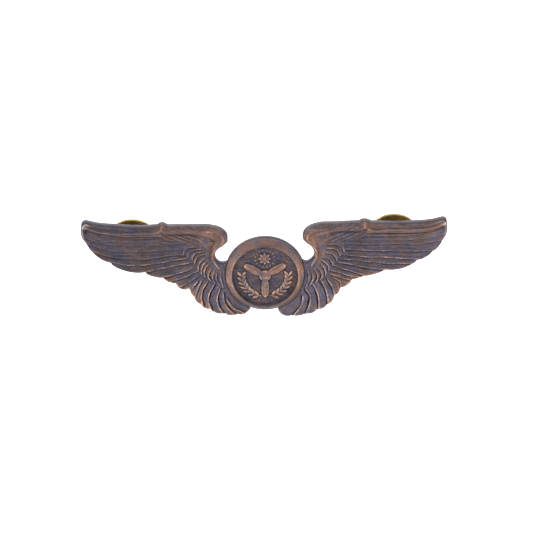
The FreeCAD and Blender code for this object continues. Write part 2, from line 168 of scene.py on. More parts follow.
def smooth_run(points, step):
    """Smooth curve through every point (chord-length Catmull-Rom)."""
    p = np.array(points, float)
    p = np.vstack([2 * p[0] - p[1], p, 2 * p[-1] - p[-2]])
    out = []
    for i in range(1, len(p) - 2):
        a, b, c, d = p[i - 1:i + 3]
        la, lb, lc = (max(np.linalg.norm(q), 1e-9) for q in (b - a, c - b, d - c))
        m0 = lb * ((b - a) / la * lb + (c - b) / lb * la) / (la + lb)
        m1 = lb * ((c - b) / lb * lc + (d - c) / lc * lb) / (lb + lc)
        n = max(2, int(lb / step))
        t = np.linspace(0, 1, n, endpoint=False)[:, None]
        out.append((2 * t**3 - 3 * t**2 + 1) * b + (t**3 - 2 * t**2 + t) * m0
                   + (3 * t**2 - 2 * t**3) * c + (t**3 - t**2) * m1)
    out.append(p[-2:-1])
    return np.vstack(out)


def run_points(run, step):
    curve = {2: straight, 3: arc_through}.get(len(run))
    return curve(*run, step) if curve else smooth_run(run, step)


def closed_outline(runs, step):
    """Closed loop of points, runs joined by short straight steps, anticlockwise."""
    pts = []
    for i, run in enumerate(runs):
        pts.append(run_points(run, step))
        following = runs[(i + 1) % len(runs)][0]
        if math.dist(run[-1], following) > 1e-6:
            pts.append(straight(run[-1], following, step)[1:])
    p = np.vstack(pts)
    keep = np.ones(len(p), bool)
    keep[1:] = np.linalg.norm(np.diff(p, axis=0), axis=1) > 0.02
    p = p[keep]
    if np.linalg.norm(p[0] - p[-1]) < 0.02:
        p = p[:-1]
    twice = np.sum(p[:, 0] * np.roll(p[:, 1], -1) - np.roll(p[:, 0], -1) * p[:, 1])
    return p if twice > 0 else p[::-1]


def outside_disc(loop, r):
    """Loop with the stretch inside a circle about the origin replaced by the circle's nearer arc."""
    keep = np.hypot(loop[:, 0], loop[:, 1]) > r
    first = int(np.argmax(keep & ~np.roll(keep, 1)))
    loop, keep = np.roll(loop, -first, axis=0), np.roll(keep, -first)
    outer = loop[keep]
    a = math.atan2(outer[-1, 1], outer[-1, 0])
    b = math.atan2(outer[0, 1], outer[0, 0])
    sweep = (b - a + math.pi) % (2 * math.pi) - math.pi
    n = max(3, int(abs(sweep) * r / 0.1))
    t = a + sweep * np.linspace(0, 1, n)
    return np.vstack([outer, np.column_stack([r * np.cos(t), r * np.sin(t)])])


def near(points, line):
    """Distance, side (+1 to the left of the line's direction) and share of the length, for each point."""
    best = np.full(len(points), 1e9)
    side = np.zeros(len(points))
    along = np.zeros(len(points))
    lengths = np.linalg.norm(np.diff(line, axis=0), axis=1)
    start = np.concatenate([[0], np.cumsum(lengths)])
    for k in range(len(line) - 1):
        d = line[k + 1] - line[k]
        r0 = points - line[k]
        t = np.clip((r0 @ d) / max(d @ d, 1e-12), 0, 1)
        r = r0 - t[:, None] * d
        dd = (r * r).sum(1)
        m = dd < best
        best[m] = dd[m]
        side[m] = d[0] * r[m, 1] - d[1] * r[m, 0]
        along[m] = start[k] + t[m] * lengths[k]
    return np.sqrt(best), np.sign(side), along / max(start[-1], 1e-9)


def from_loop(points, loop):
    """Distance of each point from a closed loop."""
    return near(points, np.vstack([loop, loop[:1]]))[0]


def inside(points, loop):
    """Even-odd test of points against a closed loop."""
    x, z = points[:, 0], points[:, 1]
    hit = np.zeros(len(points), bool)
    for a, b in zip(loop, np.roll(loop, -1, axis=0)):
        if a[1] == b[1]:
            continue
        cross = (a[1] > z) != (b[1] > z)
        hit ^= cross & (x < (b[0] - a[0]) * (z - a[1]) / (b[1] - a[1]) + a[0])
    return hit


def bump(d, width):
    return np.exp(-(d / width) ** 2)


def ease(lo, hi, v):
    """Smooth step from 0 at lo to 1 at hi, which may be the smaller of the two."""
    t = np.clip((v - lo) / (hi - lo), 0, 1)
    return t * t * (3 - 2 * t)


def waves(v, seed, count=4):
    """Smooth one-dimensional wander between about -1 and 1."""
    rng = np.random.default_rng(SEED + seed)
    out = np.zeros_like(v)
    for k in range(count):
        f = 1.7 ** k * rng.uniform(0.8, 1.25)
        out += 0.62 ** k * np.sin(v * f + rng.uniform(0, 6.28))
    return out / 1.9


def grain(points, scale, seed):
    """Smooth two-dimensional value noise between -1 and 1."""
    rng = np.random.default_rng(SEED + seed)
    table = rng.uniform(-1, 1, (64, 64))
    u, v = points[:, 0] * scale + 31.7, points[:, 1] * scale + 17.3
    i, j = np.floor(u).astype(int), np.floor(v).astype(int)
    fu, fv = u - i, v - j
    fu, fv = fu * fu * (3 - 2 * fu), fv * fv * (3 - 2 * fv)
    i, j = i % 64, j % 64
    i1, j1 = (i + 1) % 64, (j + 1) % 64
    return ((table[i, j] * (1 - fu) + table[i1, j] * fu) * (1 - fv)
            + (table[i, j1] * (1 - fu) + table[i1, j1] * fu) * fv)


# ---------------- the wings

# Outlines: runs of 2 points are straight, 3 points an arc, and more a smooth curve through them.
LEFT_EDGE = [
    [(-7.7, 2.85), (-8.8, 2.6), (-9.6, 2.85), (-10.2, 3.7), (-10.4, 4.7), (-9.95, 5.9), (-8.6, 7),
     (-7.65, 8), (-7.75, 9.2), (-9, 10.55), (-11, 11.25), (-15, 11.4), (-20.2, 11.5)],
    [(-20.2, 11.5), (-21.2, 12), (-22.1, 11.6)],
    [(-22.1, 11.6), (-24.5, 11.4), (-31, 11.75), (-35, 12.25), (-36.9, 12.75)],
    [(-36.9, 12.75), (-37.8, 12.45), (-38, 11.5)],
    [(-38, 11.5), (-38.1, 9.9), (-37.2, 8)],
    [(-37, 7.65), (-34.6, 4.5), (-32.1, 3.2)],
    [(-31.8, 2.7), (-29.2, 1.3), (-25, 0.9)],
    [(-24.7, 0.45), (-23.3, -0.15), (-21.5, -0.45)],
    [(-21.2, -0.65), (-20.1, -1.45), (-18.7, -1.85)],
    [(-18.4, -2.25), (-17.4, -3.25), (-16, -3.05)],
    [(-15.7, -3.6), (-15.5, -4.3), (-14.9, -5.15)],
    [(-14.7, -5.75), (-14.3, -6.35), (-13.6, -6.8)],
    [(-13.3, -7.25), (-12.6, -7.8), (-11.7, -7.95)],
    [(-11.3, -8.35), (-10.2, -9), (-9, -9.05)],
    [(-8.5, -9.2), (-7.2, -9.55), (-6.2, -9.35)],
    [(-5.8, -9.4), (-4.4, -9.2), (-3.2, -7.95)],
    [(-2, -4), (-2, 1)],
]
RIGHT_EDGE = [
    [(7.8, 2.85), (8.75, 2.55), (9.6, 3), (10.15, 3.75), (10.35, 4.8), (9.9, 6.25), (8.7, 7.35),
     (7.95, 8.4), (8.3, 9.7), (9.5, 10.75), (11, 11.3), (15, 11.5), (19.7, 11.65)],
    [(19.7, 11.65), (20.8, 12.05), (22.1, 11.6)],
    [(22.1, 11.6), (25, 11.4), (31, 11.4), (35, 11.7), (37, 12.2)],
    [(37, 12.2), (37.75, 11.95), (38, 11.1)],
    [(38, 11.1), (38.1, 9.7), (37.2, 7.4)],
    [(36.9, 6.8), (36.3, 5.8), (35, 4.6)],
    [(34.6, 4.1), (33.4, 3.25), (31.7, 2.6)],
    [(31.4, 2.2), (29.4, 1.05), (25.2, 0.6)],
    [(24.8, 0.3), (23, -0.4), (20.6, -0.85)],
    [(20.1, -1.1), (19.2, -1.4), (18.2, -1.6)],
    [(18, -1.95), (17.2, -2.9), (15.8, -3.45)],
    [(15.6, -4), (15.3, -4.65), (14.6, -5.15)],
    [(14.4, -5.5), (14, -6.55), (13.1, -7.25)],
    [(12.9, -7.55), (12.2, -8.15), (11.1, -8.5)],
    [(10.8, -8.6), (9.9, -9.25), (8.6, -9.45)],
    [(7.8, -9.7), (6.8, -9.9), (5.8, -9.8)],
    [(5.3, -9.9), (4, -9.85), (2.6, -8.15)],
    [(2, -4), (2, 1)],
]

# Crests where one flight feather laps over the next, from the wing's leading edge round to its root.
LEFT_CRESTS = [
    (0.3, [(-17.5, 9.2), (-22, 8.95), (-30, 8.95), (-33, 9.35), (-35, 10), (-36.9, 11)]),
    (0.15, [(-16.6, 7.6), (-22, 7.5), (-29, 7.4), (-33.5, 7.8), (-37.3, 9.2)]),
    (0.25, [(-16.6, 6.2), (-22, 5.95), (-28, 5.8), (-32, 6.1), (-36.3, 7.5)]),
    (0.45, [(-16.6, 4.9), (-20, 4.75), (-24, 4.1), (-29, 4.25), (-32, 4.7), (-35.2, 5.8)]),
    (1, [(-16.5, 4.05), (-20, 3.45), (-24, 2.8), (-27, 2.65), (-29, 2.75), (-32.2, 3.55)]),
    (1, [(-15.3, 3.05), (-18, 2.55), (-21.5, 1.8), (-25, 1.05)]),
    (1, [(-14.8, 1.85), (-17, 0.95), (-19, 0.35), (-21.3, -0.3)]),
    (1, [(-14, 1.05), (-17, -0.45), (-20, -1.35)]),
    (0.9, [(-14.4, -0.4), (-16, -1.65), (-17.7, -2.5)]),
    (0.8, [(-14.1, -1.5), (-15, -2.7), (-15.6, -3.6)]),
    (0.8, [(-13.2, -1.3), (-13.9, -2.8), (-14.6, -5)]),
    (0.9, [(-12, -1.6), (-13.1, -3.6), (-13.3, -5.4), (-13, -7)]),
    (1, [(-10.6, -2.2), (-11.6, -4.2), (-11.9, -6), (-11.2, -8.2)]),
    (1, [(-9.4, -3.3), (-10, -5.4), (-9.7, -7.4), (-8.7, -9.1)]),
    (0.8, [(-8.7, -4.4), (-8.5, -6.4), (-7.3, -8.4), (-6, -9.4)]),
    (0.6, [(-8, -5.6), (-7, -7.3), (-4.6, -8.8)]),
]
RIGHT_CRESTS = [
    (0.3, [(16.8, 9.1), (22, 8.65), (30, 8.55), (34, 9.05), (37, 10.3)]),
    (0.15, [(16.7, 7.8), (22, 7.7), (29, 7.5), (33.5, 7.7), (37.6, 8.8)]),
    (0.35, [(16.8, 6.8), (22, 6.65), (28, 6.6), (32, 6.5), (36.7, 7.2)]),
    (0.7, [(16.8, 5.65), (19.5, 5.35), (25, 5.05), (29, 4.9), (32, 4.8), (35, 5)]),
    (0.9, [(16.5, 4.3), (19, 3.95), (21.5, 3.65), (25, 3.55), (28.5, 3.2), (31.9, 2.9)]),
    (0.7, [(16, 3.35), (19, 2.95), (22, 2.55), (27, 2), (30.5, 2)]),
    (1, [(15.2, 2.55), (17, 2.25), (21.5, 1.15), (25, 0.6)]),
    (1, [(14.3, 1.85), (16, 1.15), (19, 0.05), (20.6, -0.6)]),
    (0.9, [(13.9, 0.6), (15.5, 0.15), (17.5, -0.6), (19.8, -1.1)]),
    (0.9, [(13.8, -0.25), (15.5, -0.9), (18, -1.8)]),
    (0.8, [(14, -0.9), (15.4, -1.9), (15.9, -3.5)]),
    (0.8, [(12.9, -1.2), (13.9, -3.1), (14.5, -5.3)]),
    (0.9, [(11.6, -1.7), (12.5, -3.6), (12.9, -5.6), (13, -7.5)]),
    (1, [(9.9, -2.5), (10.8, -4.6), (11.1, -6.6), (11, -8.5)]),
    (1, [(8.4, -3.7), (9.3, -5.4), (9.1, -7.3), (8.3, -9.5)]),
    (0.8, [(7.7, -5.3), (7.6, -6.8), (6.7, -8.5), (5.6, -9.8)]),
]

# Rims of the small covert feathers, outermost first, each from the arm outwards and down.
LEFT_COVERTS = [
    (0.45, [(-14.6, 7.8), (-16.2, 7.7), (-17.2, 6.9), (-17.3, 5.8)]),
    (0.6, [(-14.4, 6.65), (-15.8, 6.6), (-16.6, 5.9), (-16.8, 5)]),
    (0.75, [(-12.9, 6.15), (-14.8, 5.9), (-15.7, 5.3), (-15.9, 4.3)]),
    (0.8, [(-12.7, 5.6), (-14.2, 5.25), (-14.9, 4.6), (-15, 3.6)]),
    (0.9, [(-12.5, 4.95), (-13.8, 4.45), (-14.45, 3.6), (-14.5, 2.6)]),
    (1, [(-12.3, 4.1), (-13.2, 3.4), (-13.7, 2.4), (-13.8, 1.1)]),
    (1, [(-12, 3.3), (-12.8, 2.4), (-13.15, 1.2), (-13.1, 0.1)]),
    (1, [(-11.5, 2.8), (-12.2, 1.9), (-12.6, 0.7), (-12.4, -0.5)]),
    (1, [(-10.9, 1.9), (-11.5, 0.9), (-11.75, -0.2), (-11.1, -1.4)]),
    (1, [(-10.3, 1.4), (-10.8, 0.2), (-10.8, -0.9), (-10.2, -1.9)]),
    (0.9, [(-9.9, 0.8), (-10.1, -0.3), (-10, -1.2), (-9.3, -2.4)]),
    (0.7, [(-9.1, 0.9), (-9.2, -0.3), (-9, -1.6), (-8.6, -3)]),
]
RIGHT_COVERTS = [
    (0.45, [(14.3, 8.1), (15.9, 7.9), (16.8, 7.2), (17, 6.1)]),
    (0.6, [(13.2, 6.75), (15.2, 6.7), (16.2, 6), (16.5, 4.9)]),
    (0.75, [(13, 5.9), (14.4, 5.8), (15.3, 5.1), (15.7, 4.1)]),
    (0.9, [(12.7, 4.9), (14, 4.6), (14.7, 3.9), (14.9, 2.9)]),
    (1, [(12, 3.8), (13.1, 3.6), (13.8, 2.9), (14.1, 1.9)]),
    (1, [(11.6, 3.3), (12.6, 2.5), (13.2, 1.7), (13.2, 0.6)]),
    (1, [(11.7, 2.1), (12.3, 1.2), (12.6, 0.3), (12.5, -0.7)]),
    (1, [(11, 1.4), (11.6, 0.5), (11.8, -0.6), (11.3, -1.5)]),
    (1, [(10.2, 1), (10.8, 0), (10.9, -1.1), (10.3, -2.2)]),
    (0.9, [(9.5, 0.8), (9.9, -0.3), (9.8, -1.4), (9.1, -2.7)]),
    (0.8, [(8.9, 0.7), (9.1, -0.6), (8.9, -1.8), (8.3, -3.2)]),
]

# Bone of the wing: centre line with its half width at each point.
LEFT_ARM = [(-10.9, 4.6, 0.3), (-10.2, 6.2, 0.8), (-9.1, 7.9, 1.35), (-9.6, 9.3, 1.6),
            (-11.8, 10.15, 1.3), (-15, 10.45, 0.85), (-20.6, 10.45, 0.8)]
RIGHT_ARM = [(10.8, 4.7, 0.3), (10.3, 6.4, 0.8), (9.5, 8.2, 1.3), (10, 9.5, 1.55), (12.2, 10.2, 1.25),
             (15, 10.5, 0.85), (20.2, 10.5, 0.8)]
LEFT_LEAD = [(-21.6, 10.7), (-22.2, 10.35), (-24, 10.25), (-30, 10.3), (-33, 10.5), (-35, 10.9),
             (-36.5, 11.5), (-37.4, 12)]
RIGHT_LEAD = [(21.1, 10.7), (22, 10.15), (26, 10.05), (30, 10), (33, 10.05), (35, 10.4),
              (36.5, 10.9), (37.4, 11.4)]
LEFT_GROOVE = [(-21, 9.2), (-24, 9.3), (-29, 9.3), (-31, 9.55), (-33, 9.85), (-35, 10.4),
               (-36.8, 11.1)]
RIGHT_GROOVE = [(20.6, 9.2), (24, 9.25), (30, 9.2), (33, 9.25), (35, 9.65), (37.1, 10.65)]
LEFT_RIM = [(-8.65, 9.2), (-8.55, 8.1), (-9.3, 7), (-10.5, 5.8), (-11.1, 4.9), (-11, 3.95), (-10.4, 2.85),
            (-9.6, 1.75)]
RIGHT_RIM = [(9, 9.4), (8.95, 8.4), (9.5, 7.4), (10.5, 6.1), (10.95, 5.2), (10.9, 4.2), (10.5, 3.3),
             (9.7, 2)]

LEFT_NECK = [(-12.3, 6.8), (-12.1, 5), (-11.6, 3.4), (-10.6, 1.7), (-9.4, 0.3)]
RIGHT_NECK = [(12.2, 6.9), (12, 5.1), (11.5, 3.6), (10.5, 1.8), (9.4, 0.3)]

# Each wing's lines, the places of its marks, and how light (level) and how brown (warmth) its regions are.
# shine and glint place and weigh a painted glint on the tip, sheen and sheen_level a painted sheen on the
# bone.
WINGS = {
    "left": dict(
        sign=-1, edge=LEFT_EDGE, crests=LEFT_CRESTS, coverts=LEFT_COVERTS, arm=LEFT_ARM, lead=LEFT_LEAD,
        groove=LEFT_GROOVE, rim=LEFT_RIM, neck=LEFT_NECK,
        knob=(-21.4, 11.1), hollow=(-12.2, 8.3), pit=(-37.1, 10.7), pit_depth=1,
        shine=(-37.3, 11.9), glint=0.32, sheen=(-11.6, 10.2), sheen_level=0.36,
        root=(-10.6, 3.2, 2.6), root_level=0.14, root_warmth=0.05, outer_level=-0.07, tip_level=0.05,
        warmth=-0.05, low_warmth=-0.12, lead_warmth=0.1, arm_warmth=0.24, under_warmth=0.08, bloom=0.08),
    "right": dict(
        sign=1, edge=RIGHT_EDGE, crests=RIGHT_CRESTS, coverts=RIGHT_COVERTS, arm=RIGHT_ARM, lead=RIGHT_LEAD,
        groove=RIGHT_GROOVE, rim=RIGHT_RIM, neck=RIGHT_NECK,
        knob=(20.95, 11.1), hollow=(12.1, 8.5), pit=(37.4, 10), pit_depth=0.35,
        shine=(37.4, 11.3), glint=0.06, sheen=(11.8, 10.3), sheen_level=0.08,
        root=(11.4, 4.2, 3.6), root_level=0.26, root_warmth=0.16, outer_level=0.07, tip_level=0.08,
        warmth=-0.09, low_warmth=-0.12, lead_warmth=0.24, arm_warmth=0.27, under_warmth=-0.05, bloom=0.24),
}


def lapped(points, crests, sign, seed):
    """Relief of feathers that lap one over the next, split at their crests.

    Returns the relief, the painted shade under each crest, the rubbed crest itself, and how far along and
    across its feather each point is."""
    count = len(crests)
    dist = np.zeros((count, len(points)))
    side = np.zeros_like(dist)
    along = np.zeros_like(dist)
    boldness = np.zeros_like(dist)
    for i, (bold, line) in enumerate(crests):
        path = smooth_run(line, 0.25)
        dist[i], side[i], share = near(points, path)
        along[i] = share * np.linalg.norm(np.diff(path, axis=0), axis=1).sum()
        boldness[i] = bold * np.clip(0.76 + 0.42 * waves(along[i] * 1.7 + 5.3 * i, seed), 0.15, 1.3)
    side *= -sign
    pick = dist.argmin(0)
    cols = np.arange(len(points))
    above = np.where(side[pick, cols] > 0, pick, pick - 1)
    below = above + 1
    has_up, has_down = above >= 0, below < count
    up, down = np.clip(above, 0, count - 1), np.clip(below, 0, count - 1)
    d_up = np.where(has_up, dist[up, cols], 1.4)
    d_dn = np.where(has_down, dist[down, cols], 1.4)
    b_up = boldness[up, cols] * has_up
    b_dn = boldness[down, cols] * has_down
    gap = d_up + d_dn
    t = d_up / np.maximum(gap, 1e-6)
    u = along[pick, cols]
    v = t * np.minimum(gap, 2.2) + 3.7 * above
    height = 0.16 * (0.35 + 0.65 * b_dn) * t ** 1.5
    height -= 0.17 * b_up * bump(d_up, 0.25)
    height += 0.12 * b_dn * bump(d_dn, 0.21)
    between = ease(0, 0.2, d_up) * ease(0, 0.16, d_dn)
    hair = waves(8.5 * v + 0.5 * waves(0.8 * u, seed + 1), seed + 2, 3)
    height += 0.03 * between * hair * (0.65 + 0.35 * waves(1.3 * u + 2.1 * above, seed + 3))
    height += 0.03 * between * grain(np.column_stack([0.8 * u, 2.6 * v]), 1, seed + 4)
    shade = 0.16 * b_up * bump(d_up - 0.12, 0.26)
    lit = b_dn * bump(d_dn - 0.06, 0.24)
    return height, shade, lit, u, v


def bone_of(points, arm, sign):
    """Cover (0 to 1), relief, run, breadth and share of the half width of the bone.

    The bone is rounded towards the feathers and full up to the wing's edge."""
    arm = np.array(arm)
    d, s, share = near(points, smooth_run(arm[:, :2], 0.2))
    seg = np.linalg.norm(np.diff(arm[:, :2], axis=0), axis=1)
    stops = np.concatenate([[0], np.cumsum(seg)]) / seg.sum()
    half = np.interp(share, stops, arm[:, 2])
    q = d / half
    feather_side = s * -sign > 0
    q = np.where(feather_side, q, 0.25 * q)
    cover = ease(1.3, 0.8, q)
    relief = 0.46 * ease(1.25, 0.2, q)
    u = share * seg.sum()
    return cover, relief, u, np.where(feather_side, d, -d), q


BONE_RIDGE_Z = 10.45


class Skin:
    """Front of one wing while its parts are laid on it. Each point has a height over the field, the painted
    shade under the crests (shade), a patina level that also carries painted highlights and shade, a warmth,
    and the grain's run (u) and breadth (v)."""

    def __init__(self, points, wing, rim):
        self.points, self.wing, self.rim = points, wing, rim
        self.x, self.z = points[:, 0], points[:, 1]
        self.sign = wing["sign"]
        self.out = self.x * self.sign

    def cover(self, cover, height, u, v, share=1, shade=0):
        """Lays a part over what is there, its height to a given share."""
        self.height = self.height * (1 - share * cover) + height * share * cover
        self.shade = self.shade * (1 - cover) + shade * cover
        self.turn_grain(cover, u, v)

    def turn_grain(self, cover, u, v):
        self.u, self.v = np.where(cover > 0.5, u, self.u), np.where(cover > 0.5, v, self.v)

    def near(self, line):
        return near(self.points, smooth_run(line, 0.2))

    def spot(self, place, half_x, half_z):
        return bump(np.hypot((self.x - place[0]) / half_x, (self.z - place[1]) / half_z), 1)


def lay_flight_feathers(s):
    """Long feathers, with deep gaps and deeper painted shade, rubbed crests and a blue bloom in the fan
    beside the medallion.
    """
    w = s.wing
    s.height, s.shade, lit, s.u, s.v = lapped(s.points, w["crests"], s.sign, 11)
    low = ease(18, 14, s.out) * ease(2.5, 0.5, s.z)
    fan = ease(15.5, 13.5, s.out) * ease(0, -2, s.z)
    s.shade = s.shade * (1 + 0.9 * fan)
    s.height -= 0.5 * s.shade * fan
    bloom = ease(0.05, 0.45, grain(s.points, 0.62, 15)) * (1 - lit) * fan
    s.level = 0.29 + 0.07 * low + w["outer_level"] * ease(19, 25, s.out)
    s.level += w["tip_level"] * ease(32, 36, s.out)
    s.warm = w["warmth"] * (1 - low) + w["low_warmth"] * low + (0.2 * lit * fan - w["bloom"] * bloom)
    s.level += (0.06 * lit + 0.08 * grain(s.points, 3.4, 16)) * fan + 0.5 * w["bloom"] * bloom
    root_x, root_z, root_r = w["root"]
    root = bump(np.hypot(s.x - root_x, s.z - root_z), root_r)
    s.level += w["root_level"] * root
    s.warm += w["root_warmth"] * root


def lay_coverts(s):
    """Small feathers over the roots of the long ones."""
    coverts = s.wing["coverts"]
    height, shade, _, u, v = lapped(s.points, coverts, s.sign, 23)
    border = coverts[0][1][:3] + [line[-1] for _, line in coverts]
    d, side, _ = s.near(border)
    cover = ease(-0.12, 0.12, d * side * -s.sign)
    s.cover(cover, height + 0.12, u, v + 90, shade=shade)


def lay_loose_hairs(s):
    """Sloping hairs below the bone, between the shoulder and the wrist."""
    foot = s.z - 7.3 - 0.17 * (s.out - 13)
    under = ease(-0.3, 0.3, foot) * ease(21.6, 20.4, s.out) * ease(12.4, 13.6, s.out)
    slope = s.z - 0.44 * s.out
    hair = waves(7.5 * slope + 0.6 * waves(s.out, 41), 42, 3)
    s.cover(under, 0.12 + 0.1 * hair, s.out, slope + 140, 0.85)
    s.level += (0.02 + 0.12 * hair) * under
    s.warm += s.wing["under_warmth"] * under


def lay_neck(s):
    """Strip between the coverts and the notch, with strands along it."""
    d, side, share = s.near(s.wing["neck"])
    neck = bump(d, 0.62)
    strand = 0.19 + 0.03 * waves(9 * d * side, 51, 3)
    s.cover(neck, strand, 9 * share, d * side + 170, 0.85)


def lay_hollow(s):
    """Shallow uneven hollow behind the shoulder, with a lighter rubbed border."""
    hollow_x, hollow_z = s.wing["hollow"]
    dx, dz = (s.x - hollow_x) * s.sign, s.z - hollow_z
    far = np.hypot(0.95 * dx - 0.35 * dz, 0.85 * dz + 0.25 * dx)
    far = far + 0.22 * grain(s.points, 1.1, 17)
    hollow = ease(1.25, 0.75, far)
    s.height = s.height * (1 - 0.9 * hollow) + 0.9 * hollow * (0.15 + 0.07 * ease(0.3, 1, far))
    s.level += 0.16 * bump(far - 1.25, 0.35) + 0.1 * hollow
    s.warm = s.warm + 0.16 * bump(far - 1.25, 0.45) - 0.06 * hollow


def lay_bone(s):
    """Bone from the shoulder to the wrist: painted highlight along its ridge, stripes, painted shade along
    its border towards the feathers, and a painted sheen.
    """
    w = s.wing
    cover, relief, u, v, q = bone_of(s.points, w["arm"], s.sign)
    lumps = 0.03 * grain(np.column_stack([u * 0.7, v * 1.5]), 1, 61)
    s.cover(cover, 0.06 + relief + lumps, u, v + 200)
    # painted highlight: a lighter streak along the bone's ridge
    ridge = bump(s.z - BONE_RIDGE_Z, 0.24) * ease(21, 19, s.out) * (0.7 + grain(s.points, 0.6, 8))
    stripe = waves(8 * v + 0.6 * waves(0.8 * u, 62), 63, 3)
    shoulder = ease(11.5, 9.6, s.out)
    s.level += cover * (0.02 + 0.14 * ridge + 0.05 * stripe + 0.16 * shoulder)
    s.level += 0.07 * cover * grain(s.points, 4.2, 13)
    s.warm += cover * (w["arm_warmth"] + 0.04 * shoulder)
    # painted shade along the bone's border towards the feathers
    border = bump(q - 1.12, 0.22) * (v > 0) * ease(12.5, 14.5, s.out) * ease(21, 19.5, s.out)
    s.height -= 0.05 * border
    s.level -= 0.13 * border
    # painted sheen on the bone near the shoulder
    s.level += w["sheen_level"] * (s.spot(w["sheen"], 1.6, 0.45) * (0.7 + 0.6 * grain(s.points, 1.6, 9)))
    s.bone = cover


def lay_leading_edge(s):
    """Ridged strip from the wrist to the tip, with a groove between it and the feathers."""
    w = s.wing
    beyond = ease(20.9, 21.7, s.out)
    d_lead, side_lead, share = s.near(w["lead"])
    d_groove, side_groove, _ = s.near(w["groove"])
    below_groove = d_groove * side_groove * -s.sign
    upper = ease(0.12, -0.12, below_groove) * beyond
    band = 0.34 + 0.14 * bump(d_lead, 0.26)
    band += 0.025 * waves(8 * d_lead * side_lead + 0.4 * waves(0.7 * s.out, 71), 72, 3)
    s.height = s.height * (1 - upper) + band * upper
    s.height -= 0.11 * bump(d_groove, 0.2) * beyond
    s.level += 0.1 * bump(d_lead, 0.22) * upper * ease(34, 24, s.out) - 0.03 * upper
    s.warm += w["lead_warmth"] * upper
    s.level -= 0.13 * bump(d_groove, 0.24) * beyond
    below = bump(below_groove - 0.75, 0.42) * beyond
    s.level += 0.07 * below
    s.warm = s.warm + 0.2 * bump(d_groove, 0.7) * beyond - 0.05 * below
    s.turn_grain(upper, 16 * share, d_lead * side_lead + 230)


def lay_knob(s):
    """Knob at the wrist, with a bright fold down from it."""
    knob_x, knob_z = s.wing["knob"]
    knob = s.spot(s.wing["knob"], 0.8, 0.95)
    fold = bump(s.x - knob_x + s.sign * 0.05, 0.15) * ease(knob_z - 0.7, knob_z - 0.2, s.z)
    s.height += 0.1 * knob + 0.1 * fold
    s.level += 0.3 * fold + 0.1 * knob


def lay_tip(s):
    """Pit and raised lip at the wing's tip, and the painted glint on its corner."""
    w = s.wing
    pit = s.spot(w["pit"], 0.48, 0.62)
    s.height -= 0.2 * w["pit_depth"] * pit
    s.level -= 0.2 * w["pit_depth"] * pit
    lip = ease(35.4, 36.8, s.out) * ease(7.6, 8.8, s.z)
    s.height += 0.2 * w["pit_depth"] * bump(s.rim - 0.32, 0.2) * lip
    # painted glint: a lighter, greyer spot on the tip's corner, over a slight bump
    glint = s.spot(w["shine"], 0.6, 0.55)
    s.height += 0.12 * glint
    s.level += 0.14 * bump(s.rim - 0.32, 0.22) * lip + w["glint"] * glint
    s.warm = s.warm - 0.1 * np.maximum(glint, lip * bump(s.rim - 0.32, 0.3))


def lay_notch_rim(s):
    """Raised rim inside the notch beside the medallion, and the fine unevenness of the casting."""
    d = s.near(s.wing["rim"])[0]
    s.height += 0.17 * bump(d, 0.18)
    s.level += 0.15 * bump(d, 0.2)
    s.height += 0.012 * grain(s.points, 2.3, 5) + 0.008 * grain(s.points, 6.1, 6)


def finish_edges(s):
    """Rounded edges, a worn lip on the feather tips, brown tips beside the medallion, and painted shade
    inside the notch and along the lower outline.
    """
    x, z, out, rim = s.x, s.z, s.out, s.rim
    from_centre = np.hypot(x, z)
    s.height -= 0.05 * bump(from_centre - RING_R, 0.35)
    top = np.maximum(ease(11.2, 10.4, out) * ease(1.5, 2.5, z), ease(10.3, 10.9, z))
    radius = 0.18 + 0.17 * top
    r = np.clip(1 - rim / radius, 0, 1)
    beside = ease(RING_R + 0.8, RING_R + 0.4, from_centre)
    s.height -= 0.95 * radius * (1 - np.sqrt(np.maximum(1 - r * r, 0))) * (1 - 0.8 * beside)
    lower = (1 - top) * (1 - beside)
    s.height += 0.09 * bump(rim - 0.32, 0.18) * lower * ease(32, 27, out)
    edge = bump(rim - 0.34, 0.26) * lower * ease(31, 26, out)
    notch = ease(11, 10, out) * ease(2.6, 4, z) * ease(10.6, 9.6, z)
    # painted shade under the crests goes into the level here, less on the worn lip
    s.level += (0.03 + 0.08 * grain(s.points, 0.9, 7)) * edge - s.shade * (1 - 0.6 * edge)
    # darker along the top edge; painted shade inside the notch and along the lower outline
    s.level -= 0.06 * bump(rim, 0.22) * top + 0.26 * bump(rim, 0.22) * notch
    s.level -= 0.24 * bump(rim, 0.2) * (1 - top) * (1 - 0.9 * beside)
    tips = ease(1.8, 0.6, rim) * ease(1.2, -0.2, z) * ease(9.5, 11.5, out)
    s.level += (0.17 + 0.07 * grain(s.points, 1.3, 12) + 0.09 * grain(s.points, 4.6, 14)) * tips
    s.warm = s.warm + 0.06 * edge + 0.25 * tips


def wing_relief(points, wing, rim):
    """Height over the field, patina level with painted highlights and shade, rub, warmth and grain
    direction of one wing's front.
    """
    skin = Skin(points, wing, rim)
    for lay in (lay_flight_feathers, lay_coverts, lay_loose_hairs, lay_neck, lay_hollow, lay_bone,
                lay_leading_edge, lay_knob, lay_tip, lay_notch_rim, finish_edges):
        lay(skin)
    return skin.height, skin.level, 1 - 0.75 * skin.bone, skin.warm, skin.u, skin.v


# ---------------- the medallion

RING_FOOT_R = 6.8
# radius and height over the field, from the middle out
RING_PROFILE = np.array([
    (0, 0), (6.8, 0), (6.84, 0.12), (6.88, 0.56), (6.94, 0.74), (7.02, 0.8), (7.14, 0.77),
    (7.3, 0.65), (7.6, 0.38), (7.85, 0.14), (8.05, -0.06), (8.18, -0.19), (8.25, -0.32),
])
HUB_R, HUB_H = 1.28, 0.56
BLADE_START, BLADE_END = 0.3, 5.05
ROSETTE_Z, PETALS = 3.95, 8
DOT_RING_R, DOTS = 2, 16
BUTTON_R, BUTTON_H = 0.45, 0.44
STEM_R, LEAF_PAIRS = 4.85, 7


